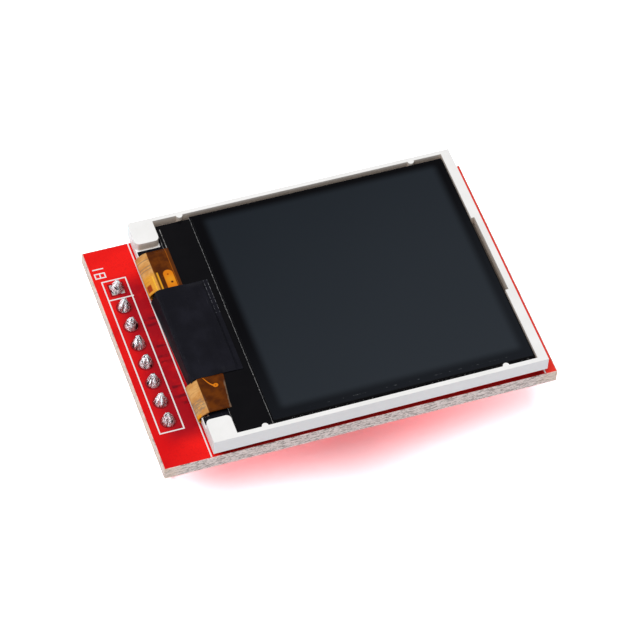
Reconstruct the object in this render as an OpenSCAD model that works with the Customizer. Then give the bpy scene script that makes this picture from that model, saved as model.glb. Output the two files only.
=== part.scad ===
// Small colour display module: a white framed liquid crystal display stuck to a red carrier board,
// with a flexible circuit folded round its left end and a row of header pins under the board.
// Units are millimetres. The origin is the middle of the header's mating face. +Z points up
// through the display, +X along the board away from the header, and +Y towards pin 1.

/* [Board] */
// Length of the circuit board, along X
board_l = 42.3; // [42.1:0.1:60]
// Width of the circuit board, along Y
board_w = 29; // [27:0.1:45]
// Thickness of the finished board, with its solder mask on both sides
board_t = 1.6; // [0.8:0.1:2.4]
// Thickness of the copper, and of the solder mask round it
coat_t = 0.035; // [0.02:0.005:0.07]
// Distance that the solder mask stays back from the cut edge of the board
mask_inset = 0.1; // [0:0.05:0.5]
// Ring of bare laminate left between a pad and the solder mask
mask_gap = 0.06; // [0.02:0.01:0.15]
// Width of a printed white line
line_w = 0.2; // [0.12:0.01:0.3]
// Thickness of the printed white ink
ink_t = 0.02; // [0.01:0.005:0.03]

/* [Header] */
// Number of pins in the row
pin_count = 8; // [2:1:9]
// Distance between neighbouring pins
pitch = 2.54; // [2:0.01:2.6]
// Side of a square pin
pin_w = 0.64; // [0.5:0.01:0.66]
// Length of a pin below the plastic housing
pin_below = 6; // [3:0.1:12]
// Length of a pin above the board
pin_above = 1.4; // [1:0.1:2]
// Length of the taper at each end of a pin
pin_taper = 0.25; // [0.1:0.05:0.5]
// Height of the plastic housing
housing_h = 2.5; // [1.5:0.1:3]
// Width of the plastic housing, along X
housing_w = 2.5; // [2:0.1:3]
// Depth of the V notches where the housing can be snapped
snap_notch = 0.45; // [0.2:0.05:0.6]
// Distance from the board's end to the row of pins
header_inset = 2.17; // [1.8:0.01:2.6]
// Diameter of a plated hole
hole_d = 1.02; // [0.98:0.01:1.2]
// Diameter of a pad round a plated hole
pad_d = 1.6; // [1.5:0.05:1.9]
// Height that the solder climbs up a pin
solder_h = 1.15; // [0.6:0.05:1.2]
// Height of the unfilled part of a plated hole, next to the housing
hole_void = 0.15; // [0.05:0.05:0.4]

/* [Frame] */
// Length of the white display frame, along X
frame_l = 35.8; // [33:0.1:36]
// Width of the white display frame, along Y
frame_w = 29.6; // [28:0.1:34]
// Distance from the board's header end to the frame
frame_inset = 5.2; // [5:0.1:6]
// Distance that the frame sits off the middle of the board, along Y
frame_shift = 0.45; // [-0.5:0.05:0.6]
// Thickness of the two long walls
side_wall = 0.5; // [0.4:0.05:0.8]
// Thickness of the wall at the far end
end_wall = 0.9; // [0.6:0.05:1]
// Width of the shelf inside the walls, which carries the rim tape
shelf_w = 0.5; // [0.3:0.05:0.7]
// Height of the rim above the front polariser
rim_rise = 0.11; // [0.05:0.01:0.4]
// Length of the two corner blocks, along X
block_l = 2.6; // [2.2:0.1:2.8]
// Width of the front corner block, along Y
front_block_w = 2.9; // [2.2:0.1:3.2]
// Width of the back corner block, along Y
back_block_w = 3.1; // [2.2:0.1:3.2]
// Radius of the corner blocks' inner corners
block_r = 0.5; // [0.2:0.05:0.8]
// Radius of the half round nubs that hold the glass off the long walls
nub_r = 0.35; // [0.2:0.05:0.45]
// Distance from the frame's left end to the first pair of nubs
nub_inset_left = 5.55; // [5:0.05:6]
// Distance from the frame's right end to the second pair of nubs
nub_inset_right = 4.35; // [3:0.05:8]
// Length of the recess in the far end wall, along Y
recess_l = 10.1; // [6:0.1:14]
// Depth of the recess in the far end wall
recess_d = 0.35; // [0.15:0.05:0.4]
// Width of the locating ears of the light guide and films, along X
ear_l = 2; // [1:0.1:4]
// Distance that the locating ears stand out
ear_out = 0.3; // [0.15:0.05:0.3]

/* [Backlight] */
// Thickness of the reflector sheet
reflector_t = 0.06; // [0.04:0.01:0.12]
// Thickness of the light guide
guide_t = 0.65; // [0.6:0.05:1.2]
// Thickness of each of the three films on the light guide
film_t = 0.06; // [0.04:0.01:0.1]
// Thickness of the black rim tape
rim_tape_t = 0.06; // [0.04:0.01:0.1]
// Number of light emitting diodes
led_count = 3; // [1:1:4]
// Length of one diode, along Y
led_l = 3; // [1.6:0.1:3.2]
// Depth of one diode, along X
led_d = 0.85; // [0.6:0.05:1]
// Height of one diode
led_h = 0.6; // [0.4:0.05:0.6]
// Thickness of the diodes' circuit strip
strip_t = 0.1; // [0.06:0.01:0.15]
// Distance that the circuit strip stays back from each end of its pocket
strip_inset = 2; // [0.5:0.1:3]

/* [Glass] */
// Thickness of the transistor glass, the lower one
tft_t = 0.3; // [0.2:0.05:0.6]
// Thickness of the colour filter glass, the upper one
filter_t = 0.3; // [0.2:0.05:0.6]
// Thickness of the rear polariser
rear_polariser_t = 0.12; // [0.08:0.01:0.2]
// Thickness of the front polariser
front_polariser_t = 0.13; // [0.08:0.01:0.2]
// Width of the bare ledge of the lower glass, along X
ledge_l = 3.7; // [3.4:0.1:4.5]
// Gap between the corner blocks and the glass
ledge_gap = 0.2; // [0.1:0.05:0.3]
// Gap between the far end wall and the glass
end_gap = 0.1; // [0.05:0.05:0.2]
// Distance that the polarisers stay back from the glass edge
polariser_inset = 0.15; // [0.1:0.05:0.4]
// Distance from the upper glass's left edge to the window in the rim tape
window_inset = 0.9; // [0.5:0.1:2]
// Width of the rim tape between the frame's other walls and that window
rim_tape_w = 0.8; // [0.7:0.05:1.2]
// Length of the driver chip, along Y
chip_l = 10.2; // [6:0.1:11]
// Width of the driver chip, along X
chip_w = 0.9; // [0.6:0.1:1]
// Thickness of the driver chip
chip_t = 0.25; // [0.15:0.05:0.3]
// Distance from the lower glass's left edge to the driver chip
chip_inset = 1.3; // [1:0.1:1.5]

/* [Flexible circuit] */
// Thickness of the flexible circuit
flex_t = 0.12; // [0.08:0.01:0.15]
// Width of the flexible circuit where it folds, along Y, over its two legs
flex_w = 21.5; // [17:0.1:21.6]
// Distance from the frame's left end to the start of the fold
flex_back = 0.8; // [0.7:0.05:1]
// Length of the flexible circuit bonded on the ledge
bond_l = 0.4; // [0.3:0.05:0.7]
// Width of the soldered tail under the display
tail_w = 11.6; // [10:0.1:14]
// Length of the tail beyond the start of the fold
tail_l = 6; // [4:0.1:8]
// Number of soldered contacts on the tail
contact_count = 14; // [6:1:14]
// Distance between neighbouring contacts
contact_pitch = 0.8; // [0.5:0.05:0.8]
// Gap between the flexible circuit and the board, filled with solder at the contacts
flex_lift = 0.05; // [0.03:0.01:0.1]
// Gap between the flexible circuit and the frame above it
flex_clear = 0.23; // [0.04:0.01:0.3]

/* [Tapes] */
// Width of the black cover tape, along Y
cover_w = 12.15; // [11.2:0.05:16]
// Distance that the cover tape sits off the middle of the frame, along Y
cover_shift = -0.43; // [-0.5:0.01:0.5]
// Thickness of the black cover tape
cover_t = 0.06; // [0.04:0.01:0.1]
// Distance from the frame's left end to the cover tape where it is folded down
cover_back = 0.25; // [0.1:0.05:0.3]
// Outer radius of the cover tape's fold
cover_r = 0.4; // [0.2:0.05:0.5]
// Length of cover tape stuck to the side of the frame
cover_drop = 0.7; // [0.3:0.1:0.9]
// Length of cover tape stuck to the glass beyond the driver chip
cover_land = 0.45; // [0.2:0.05:0.5]
// Distance from the tail's end to the foam tape under the display
foam_gap = 1; // [0.5:0.1:3]
// Distance that the foam tape stays back from the frame's other edges
foam_inset = 1.2; // [0.5:0.1:3]

/* [Board back] */
// Distance from the board's header end to the middle of the transistor packages
package_inset = 9; // [5.8:0.1:12]
// Distance from the transistor packages to the chip resistors and capacitors
chip_part_gap = 5.5; // [4.5:0.1:10]
// Distance from the middle of the board to the middle of each group of parts
group_offset = 7.5; // [6:0.1:8.5]
// Length of a chip resistor or capacitor, along X
chip_part_l = 1.6; // [1:0.1:2]
// Width of a chip resistor or capacitor, along Y
chip_part_w = 0.8; // [0.5:0.1:1.2]
// Height of a chip resistor
resistor_h = 0.45; // [0.3:0.05:0.6]
// Height of a chip capacitor
capacitor_h = 0.8; // [0.5:0.05:0.9]
// Length of a transistor package's body, along Y
package_l = 2.9; // [2.6:0.1:3.1]
// Width of a transistor package's body, along X
package_w = 1.3; // [1.1:0.1:1.5]
// Height of a transistor package's body
package_h = 0.95; // [0.8:0.05:1.2]
// Width of a transistor package over its leads
package_span = 2.4; // [2.2:0.1:2.8]
// Distance between the two leads on one side of a package
lead_pitch = 1.9; // [1.7:0.05:1.9]

/* [Hidden] */
$fn = 32;
// Clearance between pieces that drop into one another
fit = 0.05;
// Overshoot of a cut, so that it passes clean through
over = 0.5;

// Names of all the pieces

// Heights of the faces that pieces rest on, from the header's mating face upwards
z_board = housing_h;
z_core = z_board + coat_t;
z_top = z_board + board_t;
z_core_top = z_top - coat_t;
gap_t = flex_lift + flex_t + flex_clear;
z_frame = z_top + gap_t;
z_guide = z_frame + reflector_t;
z_film = z_guide + guide_t;
z_shelf = z_film + 3 * film_t;
z_rear = z_shelf + rim_tape_t;
z_tft = z_rear + rear_polariser_t;
z_ledge = z_tft + tft_t;
z_front = z_ledge + filter_t;
z_face = z_front + front_polariser_t;
z_rim = z_face + rim_rise;

// Board, with the row of pins on the Y axis
board_x0 = -header_inset;
board_x1 = board_x0 + board_l;
// Centre of pin i along Y, with pin 1 at the +Y end
function pin_y(i) = ((pin_count + 1) / 2 - i) * pitch;

// Frame outline, and the bay inside its walls
frame_x0 = board_x0 + frame_inset;
frame_x1 = frame_x0 + frame_l;
frame_y0 = frame_shift - frame_w / 2;
frame_y1 = frame_shift + frame_w / 2;
bay_x0 = frame_x0 + block_l;
bay_x1 = frame_x1 - end_wall;
bay_y0 = frame_y0 + side_wall;
bay_y1 = frame_y1 - side_wall;
sill_y0 = frame_y0 + front_block_w;
sill_y1 = frame_y1 - back_block_w;

// Pocket below the shelf for the reflector, the light guide and the films
pocket_x0 = bay_x0 + shelf_w;
pocket_x1 = bay_x1 - shelf_w;
pocket_y0 = bay_y0 + shelf_w;
pocket_y1 = bay_y1 - shelf_w;
led_x0 = pocket_x0 + 2 * fit;
guide_x0 = led_x0 + led_d + fit;
ear_x = (guide_x0 + pocket_x1) / 2;

// Glass
glass_x0 = bay_x0 + ledge_gap;
glass_x1 = bay_x1 - end_gap;
glass_y0 = bay_y0 + nub_r + fit / 2;
glass_y1 = bay_y1 - nub_r - fit / 2;
filter_x0 = glass_x0 + ledge_l;
chip_x0 = glass_x0 + chip_inset;
chip_x1 = chip_x0 + chip_w;

// Flexible circuit: a straight run on the ledge, a half turn, and a straight run under the frame
fold_x = frame_x0 + flex_back;
flex_z0 = z_top + flex_lift;
fold_r = (z_ledge + flex_t - flex_z0) / 2;
fold_z = flex_z0 + fold_r;
flex_x1 = glass_x0 + bond_l;
tail_x1 = fold_x + tail_l;
flex_y0 = frame_shift - flex_w / 2;
flex_y1 = frame_shift + flex_w / 2;
// Cover tape, and the slot between the legs that it is folded down through
cover_y0 = frame_shift + cover_shift - cover_w / 2;
cover_y1 = frame_shift + cover_shift + cover_w / 2;
cover_x0 = frame_x0 + cover_back;
slot_y0 = cover_y0 - fit;
slot_y1 = cover_y1 + fit;
contact_l = 1.2;
contact_w = contact_pitch / 2;

// Places of the parts on the back of the board
part_x1 = board_x0 + package_inset;
part_x2 = part_x1 + chip_part_gap;
part_pitch = 2.6;
// Length of the metal end caps of the chip parts, and of the copper under them
cap_l = 0.35;
land_l = 0.8;
// Copper under each lead of a transistor package, along X and Y
package_land = [0.9, 0.7];
// Two bare pads that a drop of solder can bridge, along X and Y
bridge_land = [1.4, 1.2];
bridge_gap = 0.4;
// Distance from a chip part's copper to the printed line round it
outline_gap = 0.3;

// Extrudes a profile drawn in X and Z along Y, from y0 to y1
module along_y(y0, y1) {
    translate([0, y1, 0]) rotate([90, 0, 0]) linear_extrude(y1 - y0) children();
}

// Flat rectangle between two corners
module plate(x0, y0, x1, y1) {
    translate([x0, y0]) square([x1 - x0, y1 - y0]);
}

// Flat rectangle with all four corners rounded
module soft_plate(x0, y0, x1, y1, r) {
    plate(x0 + r, y0, x1 - r, y1);
    plate(x0, y0 + r, x1, y1 - r);
    for (x = [x0 + r, x1 - r])
        for (y = [y0 + r, y1 - r])
            translate([x, y]) circle(r);
}

// Line of printed ink round a rectangle
module outline(x0, y0, x1, y1) {
    difference() {
        plate(x0 - line_w / 2, y0 - line_w / 2, x1 + line_w / 2, y1 + line_w / 2);
        plate(x0 + line_w / 2, y0 + line_w / 2, x1 - line_w / 2, y1 - line_w / 2);
    }
}

// Size of a printed digit, and the distance from one to the next
digit_h = 1.25;
digit_w = 0.8;
digit_step = 1.2;
// Digits of the number printed beyond pin 1, and its place from the pins and from their box
number_mark = [1, 8];
number_x = -1.8;
number_gap = 1.3;
// Plain digit drawn with up to seven straight strokes, its lower left corner at the origin.
// Stroke order: top, upper right, lower right, bottom, lower left, upper left, middle.
strokes = [[1, 2], [0, 1, 6, 4, 3], [0, 1, 6, 2, 3], [5, 6, 1, 2], [0, 5, 6, 2, 3],
           [0, 5, 6, 2, 3, 4], [0, 1, 2], [0, 1, 2, 3, 4, 5, 6], [0, 1, 2, 3, 5, 6]];
module digit(n) {
    for (s = strokes[n - 1]) {
        rise = (digit_h - line_w) * (s == 0 ? 1 : (s == 6 ? 0.5 : 0));
        if (s == 0 || s == 3 || s == 6)
            translate([0, rise]) square([digit_w, line_w]);
        else
            translate([s < 3 ? digit_w - line_w : 0, s == 1 || s == 5 ? (digit_h - line_w) / 2 : 0])
                square([line_w, (digit_h + line_w) / 2]);
    }
}

// Board pieces

// Holes for the header pins, through everything from z0 to z1
module pin_holes(z0, z1) {
    for (i = [1:pin_count])
        translate([0, pin_y(i), z0]) cylinder(h = z1 - z0, d = hole_d);
}

// Pads round the header pins, grown by g, with a square one at pin 1
module header_pads(g) {
    for (i = [1:pin_count])
        translate([0, pin_y(i)])
            if (i == 1) square(pad_d + 2 * g, center = true);
            else circle(d = pad_d + 2 * g);
}

// Pads that the tail of the flexible circuit is soldered to, grown by g
module flex_pads(g) {
    for (i = [1:contact_count])
        translate([tail_x1 - contact_l / 2, frame_shift + (i - (contact_count + 1) / 2) * contact_pitch])
            square([contact_l + 2 * g, contact_w + 2 * g], center = true);
}

// Two pads of a chip resistor or capacitor, grown by g
module chip_lands(g) {
    for (s = [-1, 1])
        translate([s * (chip_part_l - cap_l) / 2, 0])
            square([land_l + 2 * g, chip_part_w + 0.1 + 2 * g], center = true);
}

// Three pads of a transistor package, grown by g
module package_lands(g) {
    for (p = [[-1, -1], [-1, 1], [1, 0]])
        translate([p[0] * (package_span / 2 - 0.1), p[1] * lead_pitch / 2])
            square(package_land + [2 * g, 2 * g], center = true);
}

// Places of the chip parts: resistors towards -Y, capacitors towards +Y
module at_resistor(i) {
    translate([part_x2, -group_offset + (i - 2) * part_pitch]) children();
}
module at_capacitor(i) {
    translate([part_x2, group_offset + (i - 2) * part_pitch]) children();
}

// All the copper under the board, grown by g
module bottom_pads(g) {
    header_pads(g);
    for (i = [1:3]) {
        at_resistor(i) chip_lands(g);
        at_capacitor(i) chip_lands(g);
    }
    for (s = [-1, 1])
        translate([part_x1, s * group_offset]) package_lands(g);
    for (s = [-1, 1])
        translate([part_x1, s * (bridge_land[1] + bridge_gap) / 2])
            square(bridge_land + [2 * g, 2 * g], center = true);
}

// Printed line round a chip part
module part_outline() {
    x = (chip_part_l - cap_l + land_l) / 2 + outline_gap;
    y = chip_part_w / 2 + outline_gap;
    outline(-x, -y, x, y);
}

module circuit_board() {
    color("tan")
        difference() {
            translate([board_x0, -board_w / 2, z_core])
                cube([board_l, board_w, z_core_top - z_core]);
            pin_holes(z_board - over, z_top + over);
        }
}

// Coloured lacquer on one face, cut back from the edge and open over the pads
module solder_mask(z) {
    color("red")
        translate([0, 0, z])
            linear_extrude(coat_t)
                difference() {
                    plate(board_x0 + mask_inset, mask_inset - board_w / 2,
                          board_x1 - mask_inset, board_w / 2 - mask_inset);
                    children();
                }
}

module solder_mask_top() {
    solder_mask(z_core_top) {
        header_pads(mask_gap);
        flex_pads(mask_gap);
    }
}

module solder_mask_bottom() {
    solder_mask(z_board) bottom_pads(mask_gap);
}

// Copper pads on one face, with the pin holes through them
module copper(z) {
    color("goldenrod")
        difference() {
            translate([0, 0, z]) linear_extrude(coat_t) children();
            pin_holes(z - over, z + over);
        }
}

module copper_top() {
    copper(z_core_top) {
        header_pads(0);
        flex_pads(0);
    }
}

module copper_bottom() {
    copper(z_board) bottom_pads(0);
}

module silkscreen_top() {
    box_y = (pin_count * pitch) / 2;
    color("white")
        translate([0, 0, z_top])
            linear_extrude(ink_t) {
                // Box round the pins, with a bar that sets pin 1 apart
                outline(-pitch / 2, -box_y, pitch / 2, box_y);
                plate(-pitch / 2, box_y - pitch - line_w / 2, pitch / 2 + line_w, box_y - pitch + line_w / 2);
                // Two lines that show where the display frame goes
                for (x = [frame_x0 - line_w, frame_x1])
                    plate(x - line_w / 2, mask_inset - board_w / 2, x + line_w / 2, board_w / 2 - mask_inset);
                // Plain number beyond pin 1, its top towards the display
                for (k = [0:1])
                    translate([number_x, box_y + number_gap + (1 - k) * digit_step])
                        rotate(-90) digit(number_mark[k]);
            }
}

module silkscreen_bottom() {
    color("white")
        translate([0, 0, z_board - ink_t])
            linear_extrude(ink_t) {
                // Pin numbers, to be read from below
                for (i = [1:pin_count])
                    translate([housing_w / 2 + digit_w, pin_y(i) + digit_h / 2]) mirror([0, 1]) digit(i);
                // Outlines of the chip parts
                for (i = [1:3]) {
                    at_resistor(i) part_outline();
                    at_capacitor(i) part_outline();
                }
            }
}

// Header pieces

module header_housing() {
    half = housing_w / 2;
    side = pitch / 2;
    color("#202020")
        difference() {
            linear_extrude(housing_h)
                for (i = [1:pin_count])
                    translate([0, pin_y(i)])
                        polygon([[-half, snap_notch - side], [snap_notch - half, -side],
                                 [half - snap_notch, -side], [half, snap_notch - side],
                                 [half, side - snap_notch], [half - snap_notch, side],
                                 [snap_notch - half, side], [-half, side - snap_notch]]);
            for (i = [1:pin_count])
                translate([0, pin_y(i), housing_h / 2])
                    cube([pin_w, pin_w, housing_h + 2 * over], center = true);
        }
}

// Side view of a pin, with tapered ends
module pin_profile() {
    half = pin_w / 2;
    tip = half / 2;
    top = z_top + pin_above;
    polygon([[-tip, -pin_below], [tip, -pin_below], [half, pin_taper - pin_below], [half, top - pin_taper],
             [tip, top], [-tip, top], [-half, top - pin_taper], [-half, pin_taper - pin_below]]);
}

module header_pin(i) {
    color("gold")
        translate([0, pin_y(i), 0])
            intersection() {
                rotate([90, 0, 0]) linear_extrude(pin_w, center = true) pin_profile();
                rotate([90, 0, 90]) linear_extrude(pin_w, center = true) pin_profile();
            }
}

// Tent of solder drawn up a pin: its section goes from a round foot to a rounded square at the top
tent_steps = 6;
tent_sides = 16;
function tent_half(t) = pin_w / 2 + 0.04 + (pad_d / 2 - 0.05 - pin_w / 2 - 0.04) * pow(1 - t, 2.2);
function tent_power(t) = 2 / (2 + 5 * t);
function signed_pow(v, p) = sign(v) * pow(abs(v), p);
function tent_ring(t, z) =
    [for (k = [0:tent_sides - 1])
        let (a = 360 * (k + 0.5) / tent_sides)
            [tent_half(t) * signed_pow(cos(a), tent_power(t)),
             tent_half(t) * signed_pow(sin(a), tent_power(t)), z]];

module solder_tent() {
    points = [for (j = [0:tent_steps]) each tent_ring(j / tent_steps, solder_h * j / tent_steps)];
    last = tent_steps * tent_sides;
    foot = [for (k = [0:tent_sides - 1]) k];
    head = [for (k = [tent_sides - 1:-1:0]) last + k];
    walls = [for (j = [0:tent_steps - 1])
        for (k = [0:tent_sides - 1])
            let (a = j * tent_sides + k, b = j * tent_sides + (k + 1) % tent_sides)
                each [[a, a + tent_sides, b], [b, a + tent_sides, b + tent_sides]]];
    polyhedron(points, concat([foot], [head], walls));
}

module solder_joint(i) {
    color("silver")
        translate([0, pin_y(i), 0])
            difference() {
                union() {
                    translate([0, 0, z_top]) solder_tent();
                    translate([0, 0, z_board + hole_void])
                        cylinder(h = board_t - hole_void, d = hole_d);
                }
                translate([0, 0, z_top]) cube([pin_w, pin_w, 4 * board_t + 2 * solder_h], center = true);
            }
}

// Display frame pieces

// Locating ears on the two long sides of a sheet, grown by g
module ears(g) {
    plate(ear_x - ear_l / 2 - g, pocket_y0 - ear_out - g, ear_x + ear_l / 2 + g, pocket_y1 + ear_out + g);
}

// Outline of the light guide and of the films, which drop into the pocket
module sheet() {
    plate(guide_x0, pocket_y0 + fit, pocket_x1 - fit, pocket_y1 - fit);
    intersection() {
        ears(-fit);
        plate(guide_x0, frame_y0, pocket_x1, frame_y1);
    }
}

// Space above the shelf: the bay between the walls, the opening between the corner blocks and
// the recess in the far end wall
module bay() {
    difference() {
        plate(bay_x0 - block_r, bay_y0, bay_x1, bay_y1);
        // The corner blocks, whose inner corners are round
        soft_plate(frame_x0 - over, frame_y0 - over, bay_x0, sill_y0, block_r);
        soft_plate(frame_x0 - over, sill_y1, bay_x0, frame_y1 + over, block_r);
        plate(frame_x0 - over, frame_y0, bay_x0 - block_r, frame_y1);
    }
    plate(frame_x0 + block_r, sill_y0, bay_x0, sill_y1);
    difference() {
        plate(frame_x0 - over, sill_y0 - block_r, frame_x0 + block_r, sill_y1 + block_r);
        translate([frame_x0 + block_r, sill_y0 - block_r]) circle(block_r);
        translate([frame_x0 + block_r, sill_y1 + block_r]) circle(block_r);
    }
    recess_y = frame_shift;
    plate(bay_x1 - over, recess_y - recess_l / 2, bay_x1 + recess_d, recess_y + recess_l / 2);
}

// Half round nubs on the inner faces of the long walls
module nubs(g) {
    for (x = [frame_x0 + nub_inset_left, frame_x1 - nub_inset_right])
        for (y = [bay_y0, bay_y1])
            translate([x, y]) circle(nub_r + g);
}

// Notches in the sill: two deep ones that the legs of the flexible circuit fold down through, and
// a shallow one between them for the cover tape
module fold_notch(g) {
    plate(frame_x0 - over, flex_y0 - g, fold_x, slot_y0);
    plate(frame_x0 - over, slot_y1, fold_x, flex_y1 + g);
    plate(frame_x0 - over, slot_y0, cover_x0 + cover_t, slot_y1);
}

module display_frame() {
    color("white") {
        // Lower half: a closed ring with the pocket in it
        translate([0, 0, z_frame])
            linear_extrude(z_shelf - z_frame)
                difference() {
                    plate(frame_x0, frame_y0, frame_x1, frame_y1);
                    plate(pocket_x0, pocket_y0, pocket_x1, pocket_y1);
                    ears(0);
                    fold_notch(fit);
                }
        // Upper half: the walls, the corner blocks and the nubs
        translate([0, 0, z_shelf])
            linear_extrude(z_rim - z_shelf) {
                difference() {
                    plate(frame_x0, frame_y0, frame_x1, frame_y1);
                    bay();
                }
                intersection() {
                    nubs(0);
                    plate(frame_x0, frame_y0, frame_x1, frame_y1);
                }
            }
    }
}

module reflector_sheet() {
    color("whitesmoke")
        translate([0, 0, z_frame])
            linear_extrude(reflector_t)
                plate(pocket_x0 + fit, pocket_y0 + fit, pocket_x1 - fit, pocket_y1 - fit);
}

module light_guide() {
    color("aliceblue", 0.6)
        translate([0, 0, z_guide]) linear_extrude(guide_t) sheet();
}

// Film number n above the light guide, counted from 0
module film(n) {
    color("ghostwhite", 0.7)
        translate([0, 0, z_film + n * film_t]) linear_extrude(film_t) sheet();
}

module diffuser_film() {
    film(0);
}

module lower_prism_film() {
    film(1);
}

module upper_prism_film() {
    film(2);
}

module led_strip() {
    color("orange")
        translate([0, 0, z_guide + led_h])
            linear_extrude(strip_t)
                plate(pocket_x0 + fit, pocket_y0 + strip_inset, guide_x0 - fit, pocket_y1 - strip_inset);
}

// Diode with its light window facing the light guide
module backlight_led(i) {
    span = (pocket_y1 - pocket_y0) / led_count;
    y = pocket_y0 + (i - 0.5) * span;
    rim = 0.12;
    end = 0.3;
    color("lightyellow")
        translate([led_x0, y - led_l / 2, z_guide])
            difference() {
                cube([led_d, led_l, led_h]);
                translate([led_d - rim, end, rim])
                    cube([over, led_l - 2 * end, led_h - 2 * rim]);
            }
}

// Glass pieces and tapes

// Tape on the shelf and the sill, with the window that the backlight shines through
module rim_tape() {
    color("#101010")
        translate([0, 0, z_shelf])
            linear_extrude(rim_tape_t) {
                difference() {
                    plate(bay_x0 + fit, bay_y0 + fit, bay_x1 - fit, bay_y1 - fit);
                    plate(filter_x0 + window_inset, bay_y0 + rim_tape_w,
                          bay_x1 - rim_tape_w, bay_y1 - rim_tape_w);
                    nubs(fit);
                }
                difference() {
                    plate(frame_x0 + 2 * fit, sill_y0 + 2 * fit, bay_x0 + block_r, sill_y1 - 4 * fit);
                    fold_notch(2 * fit);
                }
            }
}

module rear_polariser() {
    color("dimgray")
        translate([0, 0, z_rear])
            linear_extrude(rear_polariser_t)
                plate(filter_x0 + polariser_inset, glass_y0 + polariser_inset,
                      glass_x1 - polariser_inset, glass_y1 - polariser_inset);
}

module transistor_glass() {
    color("darkslategray", 0.8)
        translate([0, 0, z_tft])
            linear_extrude(tft_t) plate(glass_x0, glass_y0, glass_x1, glass_y1);
}

module filter_glass() {
    color("darkslategray", 0.8)
        translate([0, 0, z_ledge])
            linear_extrude(filter_t) plate(filter_x0, glass_y0, glass_x1, glass_y1);
}

module front_polariser() {
    color("#15181c")
        translate([0, 0, z_front])
            linear_extrude(front_polariser_t)
                plate(filter_x0 + polariser_inset, glass_y0 + polariser_inset,
                      glass_x1 - polariser_inset, glass_y1 - polariser_inset);
}

module driver_chip() {
    color("#303038")
        translate([chip_x0, frame_shift - chip_l / 2, z_ledge]) cube([chip_w, chip_l, chip_t]);
}

// Flexible circuit and the pieces on it

// Half ring round the fold, on its left side, between two radii
module fold_ring(r0, r1) {
    translate([fold_x, fold_z])
        difference() {
            circle(r1, $fn = 64);
            circle(r0, $fn = 64);
            translate([0, -2 * r1]) square([2 * r1, 4 * r1]);
        }
}

module flexible_circuit() {
    neck = 1.2;
    color("#c07830") {
        // Head, bonded to the ledge
        along_y(flex_y0, flex_y1) plate(fold_x, z_ledge, flex_x1, z_ledge + flex_t);
        // Two legs, each folded through a half turn
        along_y(flex_y0, slot_y0) fold_ring(fold_r - flex_t, fold_r);
        along_y(slot_y1, flex_y1) fold_ring(fold_r - flex_t, fold_r);
        // Wide part under the frame, and the tail that is soldered to the board
        along_y(flex_y0, flex_y1) plate(fold_x, flex_z0, fold_x + neck, flex_z0 + flex_t);
        along_y(frame_shift - tail_w / 2, frame_shift + tail_w / 2)
            plate(fold_x, flex_z0, tail_x1, flex_z0 + flex_t);
    }
}

module flex_solder() {
    color("silver")
        translate([0, 0, z_top]) linear_extrude(flex_lift) flex_pads(0);
}

// Cover tape: stuck to the side of the frame, folded over, flat on the flexible circuit, over the
// driver chip and down to the glass
module cover_tape() {
    low = z_ledge + flex_t;
    high = z_ledge + chip_t;
    ramp = 0.4;
    fold_end = [cover_x0 + cover_r, low + cover_t - cover_r];
    route = [[fold_end[0], low], [flex_x1 + fit, low], [chip_x0 - 2 * fit, high], [chip_x1 + 2 * fit, high],
             [chip_x1 + ramp, z_ledge], [chip_x1 + ramp + cover_land, z_ledge]];
    color("#18181c")
        along_y(cover_y0, cover_y1) {
            polygon(concat(route, [for (k = [len(route) - 1:-1:0]) route[k] + [0, cover_t]]));
            intersection() {
                translate(fold_end)
                    difference() {
                        circle(cover_r);
                        circle(cover_r - cover_t);
                    }
                plate(cover_x0, fold_end[1], fold_end[0], low + cover_t);
            }
            plate(cover_x0, z_shelf - cover_drop, cover_x0 + cover_t, fold_end[1]);
        }
}

// Double sided foam tape between the board and the display
module foam_tape() {
    color("dimgray")
        translate([0, 0, z_top])
            linear_extrude(gap_t)
                soft_plate(tail_x1 + foam_gap, frame_y0 + foam_inset,
                           frame_x1 - foam_inset, frame_y1 - foam_inset, 0.5);
}

// Parts on the back of the board, drawn hanging from it

// Body of a small transistor package, with sloping sides
module package_body() {
    split = package_h * 0.45;
    gap = 0.05;
    slope = 0.12;
    color("#26262a")
        translate([0, 0, z_board])
            intersection() {
                rotate([90, 0, 0]) linear_extrude(package_l + over, center = true)
                    package_side(package_w, split, gap, slope);
                rotate([90, 0, 90]) linear_extrude(package_span + over, center = true)
                    package_side(package_l, split, gap, slope);
            }
}

// Side view of the body: w wide at the parting line, narrower at its top and foot
module package_side(w, split, gap, slope) {
    polygon([[-w / 2 + slope, -gap], [w / 2 - slope, -gap], [w / 2, -split],
             [w / 2 - slope, -package_h], [-w / 2 + slope, -package_h], [-w / 2, -split]]);
}

// Bent leads: out of the body at its parting line, down to the pads and outwards
module package_leads() {
    lead_w = 0.4;
    lead_t = 0.12;
    z_out = package_h * 0.45;
    foot = 0.4;
    reach = package_span / 2;
    color("lightgray")
        translate([0, 0, z_board])
            for (p = [[-1, -1], [-1, 1], [1, 0]])
                translate([0, p[1] * lead_pitch / 2, 0])
                    rotate([90, 0, 0])
                        linear_extrude(lead_w, center = true)
                            flip_x(p[0])
                                polygon([[package_w / 2, lead_t / 2 - z_out],
                                         [reach - foot + lead_t, lead_t / 2 - z_out],
                                         [reach - foot + lead_t, 0], [reach, 0],
                                         [reach, -lead_t], [reach - foot + 2 * lead_t, -lead_t],
                                         [reach - foot + 2 * lead_t, -lead_t / 2 - z_out],
                                         [package_w / 2, -lead_t / 2 - z_out]]);
}

// Mirrors its children to the -X side when s is negative
module flip_x(s) {
    if (s < 0) mirror([1, 0]) children();
    else children();
}

module regulator_body() {
    translate([part_x1, group_offset, 0]) package_body();
}

module regulator_leads() {
    translate([part_x1, group_offset, 0]) package_leads();
}

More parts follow.
